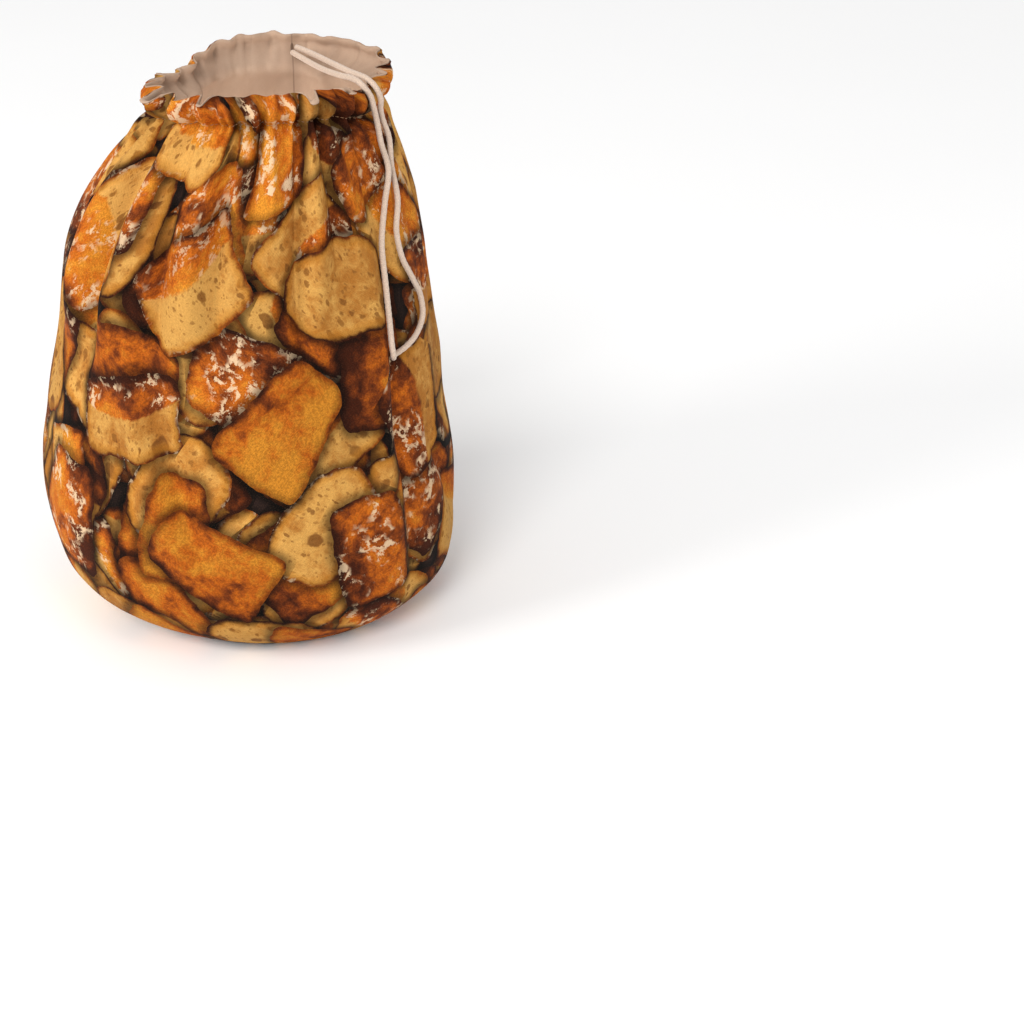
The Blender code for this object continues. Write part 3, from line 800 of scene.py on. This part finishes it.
def print_cloth():
    made, n, shader = new_material("print_canvas")
    place = n.add("ShaderNodeUVMap", uv_map="cloth").outputs[0]
    _, wobble = n.noise(place, 55.0, 2.0)
    wobble = n.vector("SCALE", n.vector("SUBTRACT", wobble, (0.5, 0.5, 0.5)), scale=0.0085)
    state = {"Spot": (0.0, 0.0, -1.0), "Draw": (0.0, 0.0, 0.0), "Share": (0.0, 0.0, 1.0)}
    group = bread_layer()
    for layer in PRINT_LAYERS:
        node = n.add("ShaderNodeGroup")
        node.node_tree = group
        n.fill(node, {"Place": place, "Wobble": wobble, "Size": layer.size, "Scatter": layer.scatter})
        n.fill(node, state)
        state = {name: node.outputs[name] for name in state}

    along, across, depth = n.split(state["Spot"])
    one, two, kind = n.split(state["Draw"])
    end, side, shade = n.split(state["Share"])
    spot = n.vector("ADD", n.join(along, across, 0.0), n.vector("SCALE", state["Draw"], scale=23.0))
    wide, wide_colour = n.noise(spot, 42.0, 3.0, 0.6)
    middle, middle_colour = n.noise(spot, 150.0, 4.0, 0.65)
    fine, _ = n.noise(spot, 900.0, 2.0, 0.6)

    # Where the crust shows: a ring round every piece, and the baked side of a chunk
    frayed = n.plus(depth, n.times(n.minus(middle, 0.5), 0.0045))
    ring_wide = n.times_plus(two, 0.0030, 0.0022)
    ring = n.ramp(frayed, 0.0004, ring_wide, 1.0, 0.0)
    is_slice = n.ramp(kind, 0.74, 0.76)
    is_crust = n.ramp(kind, 0.30, 0.32, 1.0, 0.0)
    arc = n.times_plus(n.times(end, end), -0.34, n.times_plus(one, 0.75, -0.30))
    arc = n.plus(arc, n.times_plus(is_slice, -3.0, n.times(is_crust, 3.0)))
    below_line = n.minus(arc, n.times_plus(n.minus(middle, 0.5), 0.16, side))
    baked_side = n.ramp(below_line, -0.03, 0.05)
    crust_share = n.math("MAXIMUM", ring, baked_side)

    # Crust: patches from dark to golden, darker towards its lower edge, grained and dusted with flour
    baked = n.times_plus(wide, 1.15, n.times_plus(middle, 0.55, -0.29))
    baked = n.plus(baked, n.times(n.minus(two, 0.5), 0.30))
    baked = n.plus(baked, n.ramp(side, -1.0, 0.25, -0.20, 0.05))
    baked = n.minus(baked, n.ramp(depth, 0.0, 0.005, 0.18, 0.0))
    stops = [(0.22, CRUST_DARK), (0.38, CRUST_BROWN), (0.54, CRUST_ORANGE), (0.78, CRUST_GOLD)]
    crust = n.colours(baked, stops)
    grain = n.ramp(fine, 0.35, 0.68, 0.70, 1.12)
    crust = n.dimmed(crust, grain)
    speckle = n.times(n.minus(fine, 0.5), 0.16)
    dust_line = n.plus(n.split(middle_colour)[1], speckle)
    dusty = n.times(n.ramp(n.split(wide_colour)[1], 0.47, 0.57), n.ramp(one, 0.35, 0.45))
    dusted = n.times(n.ramp(dust_line, 0.50, 0.57, 0.0, 0.88), dusty)
    crust = n.mix(dusted, crust, (*FLOUR, 1.0))

    # Crumb: pale and mottled, golden near the crust, with holes of three sizes
    mottle = n.times_plus(wide, 0.55, n.times(middle, 0.45))
    mottle = n.plus(mottle, n.times(n.minus(two, 0.5), 0.22))
    crumb = n.mix(n.ramp(mottle, 0.34, 0.58), (*CRUMB_GOLD, 1.0), (*CRUMB_PALE, 1.0))
    bent = n.vector("ADD", spot, n.vector("SCALE", middle_colour, scale=0.004))
    stretched = n.vector("MULTIPLY", bent, (1.0, 0.72, 1.0))
    for size in CRUMB_HOLES:
        away, tint = n.cells(stretched, size.to_metre)
        drawn = n.split(tint)
        reach = n.ramp(drawn[0], size.left_empty, 1.0, 0.0, 0.46)
        inside = n.minus(reach, away)
        hole = n.times(n.ramp(inside, -0.02, 0.10), size.strength)
        hole_tone = n.mix(drawn[1], (*HOLE_BROWN, 1.0), (*[0.62 * c for c in CRUMB_GOLD], 1.0))
        crumb = n.mix(hole, crumb, hole_tone)
    crumb = n.mix(n.ramp(depth, 0.003, 0.009, 0.45, 0.0), crumb, (*CRUST_GOLD, 1.0))
    crumb_grain = n.ramp(fine, 0.3, 0.7, 0.88, 1.08)
    crumb = n.dimmed(crumb, crumb_grain)

    bread = n.mix(crust_share, crumb, crust)
    round_edge = n.ramp(depth, 0.0, 0.0075, 0.50, 1.0)
    tone = n.times_plus(kind, 0.10, n.times_plus(one, 0.22, 0.80))
    tone = n.times(round_edge, tone)
    tone = n.times(tone, shade)
    bread = n.dimmed(bread, tone)
    gap = n.dimmed((*[2.2 * c for c in GAP_DARK], 1.0), shade)
    colour = n.mix(n.math("GREATER_THAN", depth, 0.0), gap, bread)
    ink, _ = n.noise(place, 1500.0, 1.0)
    colour = n.mix(n.ramp(ink, 0.50, 0.78, 0.0, 0.05), colour, (*BARE_THREAD, 1.0))
    weave = weave_bump(n, place, PRINT_WEAVE_PITCH, PRINT_WEAVE_DEPTH, 0.5)
    n.fill(shader, {"Base Color": colour, "Roughness": 0.82, "Specular IOR Level": 0.08, "Normal": weave})
    return made


def lining_cotton():
    """Plain cream cotton, with the seam down the lining's back and the slit in it, both drawn as painted
    shade in the colour.
    """
    made, n, shader = new_material("lining_cotton")
    place = n.add("ShaderNodeUVMap", uv_map="cloth").outputs[0]
    cloud, _ = n.noise(place, 22.0, 4.0, 0.55)
    thread, _ = n.noise(n.vector("MULTIPLY", place, (1.0, 9.0, 1.0)), 420.0, 2.0)
    tone = n.mix(n.ramp(cloud, 0.3, 0.7), (*LINING_CREAM, 1.0), (*LINING_PALE, 1.0))
    red, green, blue = LINING_CREAM
    shaded = (red * 0.7, green * 0.66, blue * 0.6, 1.0)
    tone = n.mix(n.ramp(thread, 0.45, 0.75, 0.0, 0.22), tone, shaded)

    x, y, z = n.split(n.add("ShaderNodeTexCoord").outputs["Object"])
    # Painted shade: a dark line in the seam's groove, with a fainter painted shade either side of it over the
    # seam's fold
    aside = n.math("ABSOLUTE", n.minus(x, SEAM_X))
    at_back = n.math("GREATER_THAN", y, 0.0)
    line = n.times(n.ramp(aside, 0.0002, 0.0009, 0.50, 0.0), at_back)
    fold = n.times(n.ramp(aside, 0.0010, 0.0060, 0.16, 0.0), at_back)
    # Painted shade: the slit's dark opening, an ellipse darkened in the lining's colour
    wide = n.math("DIVIDE", aside, SLIT_WIDE)
    tall = n.math("DIVIDE", n.minus(z, SLIT_Z), SLIT_TALL)
    slit = n.plus(n.times(wide, wide), n.times(tall, tall))
    slit_painted_shade = n.times(n.ramp(slit, 0.7, 1.2, 0.9, 0.0), at_back)
    seam_painted_shade = n.math("MAXIMUM", n.math("MAXIMUM", line, fold), slit_painted_shade)
    tone = n.mix(seam_painted_shade, tone, (*SEAM_SHADOW, 1.0))
    weave = weave_bump(n, place, LINING_WEAVE_PITCH, LINING_WEAVE_DEPTH, 0.6)
    n.fill(shader, {"Base Color": tone, "Roughness": 0.88, "Specular IOR Level": 0.12, "Normal": weave})
    return made


def thread_cotton(name, colour):
    made, n, shader = new_material(name)
    place = n.add("ShaderNodeTexCoord").outputs["Object"]
    fuzz, _ = n.noise(place, 1800.0, 3.0)
    shaded = [0.72 * c for c in colour]
    tone = n.mix(n.ramp(fuzz, 0.35, 0.7), (*shaded, 1.0), (*colour, 1.0))
    fibres = n.bump(fuzz, 0.35, 0.0002)
    n.fill(shader, {"Base Color": tone, "Roughness": 0.8, "Sheen Weight": 0.25, "Normal": fibres})
    return made


def grid_mesh(name, rows, wide, tall):
    """A tube through closed rows of points, with the flat cloth's places in metres as its UV map."""
    n_rows, n_columns = rows.shape[:2]
    mesh = bpy.data.meshes.new(name)
    faces = []
    places = []
    for row in range(n_rows - 1):
        for k in range(n_columns):
            face = []
            for up, along in ((row, k), (row, k + 1), (row + 1, k + 1), (row + 1, k)):
                face.append(up * n_columns + along % n_columns)
                places += [wide[up][along], tall[up]]
            faces.append(face)
    mesh.from_pydata(rows.reshape(-1, 3).tolist(), [], faces)
    layer = mesh.uv_layers.new(name="cloth")
    layer.data.foreach_set("uv", np.array(places, np.float32))
    mesh.shade_smooth()
    return mesh


def new_object(name, data):
    obj = bpy.data.objects.new(name, data)
    bpy.context.scene.collection.objects.link(obj)
    return obj


def new_piece(name, mesh, finish, node):
    obj = new_object(name, mesh)
    obj.data.materials.append(finish)
    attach(obj, "root")
    if node:
        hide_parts(node)
    return obj


def moved_inwards(rows, distance):
    """The rows of a tube moved that far along their own inward normals."""
    around = np.roll(rows, -1, axis=1) - np.roll(rows, 1, axis=1)
    upward = np.gradient(rows, axis=0)
    normal = np.cross(around, upward)
    normal /= np.linalg.norm(normal, axis=2)[:, :, None]
    return rows - normal * distance


def inside_rows(rows, heights, distance):
    """A smoother tube that stays that far inside the rows everywhere: a cloth lining in its cover."""
    made = rows.copy()
    for i, height in enumerate(heights):
        away = rows[i, :, :2] - [section_at(height, "lean"), 0.0]
        reach = np.linalg.norm(away, axis=1)
        near = np.min([np.roll(reach, shift) for shift in range(-2, 3)], axis=0) - distance
        even = np.mean([np.roll(near, shift) for shift in range(-3, 4)], axis=0)
        kept = np.minimum(even, np.min([np.roll(reach, shift) for shift in (-1, 0, 1)], axis=0) - distance)
        wrinkle = np.empty(len(kept))
        for k, spot in enumerate(rows[i]):
            spot = Vector((spot[0] * WRINKLE_ROUND, spot[1] * WRINKLE_ROUND, spot[2] * WRINKLE_UP))
            wrinkle[k] = noise.noise(spot) + 0.5 * noise.noise(spot * 2.1)
        deep = LINING_WRINKLE * float(smooth((height - WRINKLES_FROM) / WRINKLES_WITHIN))
        kept -= deep * np.clip(wrinkle + 0.35, 0.0, 1.0) * (1.0 if height < STITCH_HEIGHT else 0.6)
        kept -= LINING_SLACK * math.exp(-(((height - SLACK_HEIGHT) / SLACK_TALL) ** 2))
        made[i, :, :2] = [section_at(height, "lean"), 0.0] + away / reach[:, None] * kept[:, None]
    return made


def thicken(obj, thickness):
    skin = obj.modifiers.new("thickness", "SOLIDIFY")
    skin.thickness = thickness
    skin.offset = -1.0
    return skin


def wall_heights():
    """The levels of the wall's rows, closer together towards the gathered mouth."""
    low = np.arange(FOOT_HEIGHT, NECK_FROM, LOW_ROW_STEP)
    high = np.arange(NECK_FROM, CURL_FROM, NECK_ROW_STEP)
    return np.concatenate([low, high, np.linspace(CURL_FROM, RIM_HEIGHT, RIM_ROWS)])


def cloth_places(rows):
    """The flat cloth's places of a tube's points, in metres: folds take up cloth as real ones do."""
    around = np.linalg.norm(np.roll(rows, -1, axis=1) - rows, axis=2)
    run = np.concatenate([np.zeros((len(rows), 1)), np.cumsum(around, axis=1)], axis=1)
    wide = run / run[:, -1:] * CLOTH_ROUND
    steps = np.linalg.norm(np.diff(rows, axis=0), axis=2).mean(axis=1)
    tall = np.concatenate([[0.0], np.cumsum(steps)])
    return wide, tall


def make_wall(finish):
    spots = np.arange(0.0, len(GATHERS), 1.0 / WALL_COLUMNS)
    heights = wall_heights()
    rows = np.array([wall_ring(spots, height, 1.0) for height in heights])
    hem = [moved_inwards(rows, PRINT_CLOTH_THICK * 0.5)[-1] + [0.0, 0.0, HEM_RISE]]
    hem += list(moved_inwards(rows, PRINT_CLOTH_THICK)[[-1, -2, -3]])
    whole = np.concatenate([rows, np.array(hem)])
    wide, tall = cloth_places(whole)
    mesh = grid_mesh("bag_wall", whole, wide, tall)
    obj = new_piece("bag_wall", mesh, finish, "wall")
    return rows, heights


def make_lining(finish, outer_rows, heights):
    rows = inside_rows(outer_rows, heights, PRINT_CLOTH_THICK + LAYER_GAP)
    along_cloth = moved_inwards(outer_rows, PRINT_CLOTH_THICK + LAYER_GAP)
    rows += (along_cloth - rows) * smooth((heights - FOLLOWS_FROM) / FOLLOWS_WITHIN)[:, None, None]
    ahead = (rows[-1] - rows[-2]) / np.linalg.norm(rows[-1] - rows[-2], axis=1)[:, None]
    spots = np.arange(0.0, len(GATHERS), 1.0 / WALL_COLUMNS)
    curl = column(GATHERS, "curl")[np.floor(spots).astype(int)]
    at_back = smooth(0.5 + rows[-1, :, 1] / BACK_FROM_FRONT)
    shows = np.clip(np.maximum(curl / LINING_SHOWS_AT, at_back), 0.0, 1.0) * 2.0 - 1.0
    edge = rows[-1] + ahead * (LINING_EDGE * shows)[:, None]
    rows = np.concatenate([rows[0:-RIM_ROWS:LINING_EVERY], rows[-RIM_ROWS:-1], edge[None]])[:, ::LINING_EVERY]
    wide, tall = cloth_places(rows)
    mesh = grid_mesh("bag_lining", rows, wide, tall)
    obj = new_piece("bag_lining", mesh, finish, "lining_wall")
    thicken(obj, LINING_THICK)


def make_cord(finish):
    """A braided cord: strands wound both ways as low ridges on a tube along the route."""
    route, length = cord_route(CORD_RINGS)
    ahead = np.gradient(route, axis=0)
    ahead /= np.linalg.norm(ahead, axis=1)[:, None]
    side = np.array([0.0, 0.0, 1.0]) - ahead[0] * ahead[0][2]
    side /= np.linalg.norm(side)
    rows = []
    run = 0.0
    for i, spot in enumerate(route):
        side = side - ahead[i] * (side @ ahead[i])
        side /= np.linalg.norm(side)
        other = np.cross(ahead[i], side)
        if i:
            run += float(np.linalg.norm(route[i] - route[i - 1]))
        ring = []
        for k in range(CORD_SIDES):
            turn = 2.0 * math.pi * k / CORD_SIDES
            wound = run / BRAID_PITCH * 2.0 * math.pi
            plait = math.cos(BRAID_STRANDS * turn + wound) * math.cos(BRAID_STRANDS * turn - wound)
            radius = CORD_DIAMETER / 2.0 * (BRAID_CORE + BRAID_RIDGE * plait)
            ring.append(spot + (side * math.cos(turn) + other * math.sin(turn)) * radius)
        rows.append(ring)
    rows = np.array(rows)
    wide = [np.linspace(0.0, math.pi * CORD_DIAMETER, CORD_SIDES + 1)] * len(route)
    tall = np.linspace(0.0, length, len(route))
    mesh = grid_mesh("drawcord_braid", rows, wide, tall)
    shape = bmesh.new()
    shape.from_mesh(mesh)
    bmesh.ops.holes_fill(shape, edges=[edge for edge in shape.edges if edge.is_boundary])
    shape.to_mesh(mesh)
    shape.free()
    obj = new_piece("drawcord_braid", mesh, finish, "drawcord")


def stitch_row(name, line, finish):
    """Thread stitches end to end along a closed line of points that lie on the cloth."""
    shape = bmesh.new()
    line = np.concatenate([line, line[:1]])
    run = lengths_along(line)
    count = int(run[-1] / STITCH_PITCH)
    rng = random.Random(11)
    for i in range(count):
        start = (i + STITCH_JITTER * rng.random()) * run[-1] / count
        marks = np.linspace(start, start + STITCH_LONG, len(STITCH_SINKS))
        spots = points_at(marks, run, line)
        rings = []
        along = spots[-1] - spots[0]
        along /= max(np.linalg.norm(along), 1e-9)
        outward = spots.mean(axis=0) - np.array([NECK_MIDDLE, 0.0, 0.0])
        outward[2] = 0.0
        outward -= along * (outward @ along)
        outward /= np.linalg.norm(outward)
        third = np.cross(along, outward)
        for spot, lift in zip(spots, STITCH_SINKS):
            ring = []
            for k in range(STITCH_SIDES):
                turn = 2.0 * math.pi / STITCH_SIDES * k
                reach = (outward * math.cos(turn) + third * math.sin(turn)) * STITCH_RADIUS
                ring.append(shape.verts.new(spot + outward * lift + reach))
            rings.append(ring)
        for low, high in zip(rings, rings[1:]):
            for k in range(STITCH_SIDES):
                beside = (k + 1) % STITCH_SIDES
                shape.faces.new((low[k], low[beside], high[beside], high[k]))
        shape.faces.new(rings[0][::-1])
        shape.faces.new(rings[-1])
    mesh = bpy.data.meshes.new(name)
    shape.to_mesh(mesh)
    shape.free()
    mesh.shade_smooth()
    new_piece(name, mesh, finish, None)


def base_disc(name, node, finish, profile, thickness):
    """A round panel whose edge turns up into the wall's seam, with flat places for its print."""
    radii = column(profile, "radius")
    heights = column(profile, "height")
    turn = np.arange(BASE_COLUMNS) / BASE_COLUMNS * 2.0 * math.pi
    rows = []
    for share in np.linspace(0.0, 1.0, BASE_RINGS):
        reach = share * radii[-1]
        level = np.full(BASE_COLUMNS, np.interp(reach, radii, heights))
        rows.append(np.stack([reach * np.cos(turn), reach * np.sin(turn) * BASE_DEPTH, level], axis=1))
    rows = np.array(rows)
    mesh = bpy.data.meshes.new(name)
    shape = bmesh.new()
    uv = shape.loops.layers.uv.new("cloth")
    centre = shape.verts.new(rows[0, 0])
    verts = [[shape.verts.new(spot) for spot in row] for row in rows[1:]]
    for k in range(BASE_COLUMNS):
        beside = (k + 1) % BASE_COLUMNS
        shape.faces.new((centre, verts[0][k], verts[0][beside]))
        for low, high in zip(verts, verts[1:]):
            shape.faces.new((low[k], high[k], high[beside], low[beside]))
    for face in shape.faces:
        for loop in face.loops:
            place = loop.vert.co
            loop[uv].uv = (place.x + BASE_PRINT_PLACE[0], place.y + BASE_PRINT_PLACE[1])
    shape.normal_update()
    shape.to_mesh(mesh)
    shape.free()
    mesh.shade_smooth()
    obj = new_piece(name, mesh, finish, node)
    skin = thicken(obj, thickness)
    skin.offset = 1.0


def make_floor():
    made, n, shader = new_material("pale_floor")
    place = n.add("ShaderNodeTexCoord").outputs["Object"]
    cloud, _ = n.noise(place, 3.0, 2.0)
    tone = n.mix(cloud, (*FLOOR_WHITE, 1.0), (*FLOOR_PALE, 1.0))
    n.fill(shader, {"Base Color": tone, "Roughness": 0.6})
    mesh = bpy.data.meshes.new("floor")
    shape = bmesh.new()
    bmesh.ops.create_grid(shape, x_segments=2, y_segments=2, size=FLOOR_REACH)
    shape.to_mesh(mesh)
    shape.free()
    floor = new_object("floor", mesh)
    floor.location.z = -FLOOR_DROP
    mesh.materials.append(made)


def make_light(lamp):
    data = bpy.data.lights.new(lamp.name, "AREA")
    data.shape = "DISK"
    data.size = lamp.size
    data.energy = lamp.power
    data.color = lamp.colour
    obj = new_object(lamp.name, data)
    obj.location = lamp.place
    towards = Vector(lamp.target) - Vector(lamp.place)
    obj.rotation_euler = towards.to_track_quat("-Z", "Y").to_euler()
    return obj


def make_studio():
    world = bpy.data.worlds.new("studio")
    bpy.context.scene.world = world
    world.use_nodes = True
    world.node_tree.nodes["Background"].inputs[0].default_value = (1.0, 1.0, 1.0, 1.0)
    world.node_tree.nodes["Background"].inputs[1].default_value = SKY_LIGHT
    for lamp in LAMPS:
        make_light(lamp)
    inner = make_light(INNER_LAMP)
    inner.visible_camera = False
    data = bpy.data.lights.new("overhead", "SUN")
    data.energy = SUN_LIGHT
    data.angle = math.radians(SUN_SOFTNESS)
    overhead = new_object("overhead", data)
    overhead.rotation_euler = [math.radians(turn) for turn in SUN_TURN]
    bpy.context.scene.view_settings.view_transform = "Standard"


def make_camera():
    data = bpy.data.cameras.new("camera")
    data.lens = CAMERA_LENS
    data.sensor_width = SENSOR
    camera = new_object("camera", data)
    camera.location = CAMERA_PLACE
    camera.rotation_euler = (math.radians(90.0 - CAMERA_TILT), 0.0, math.radians(-CAMERA_TURN))
    bpy.context.scene.camera = camera


make_camera()
canvas = print_cloth()
cream = lining_cotton()
cord_finish = thread_cotton("cord_braid", CORD_CREAM)
stitch_finish = thread_cotton("stitch_thread", STITCH_BROWN)

make_cord(cord_finish)
wall_rows, heights = make_wall(canvas)
make_lining(cream, wall_rows, heights)
base_disc("bag_base", "base", canvas, BASE_PROFILE, BASE_THICK)
base_disc("lining_floor", "lining_base", cream, LINING_FLOOR_PROFILE, LINING_FLOOR_THICK)
stitch_level = int(np.argmin(np.abs(heights - STITCH_HEIGHT)))
stitch_row("channel_stitching", wall_rows[stitch_level], stitch_finish)
make_floor()
make_studio()
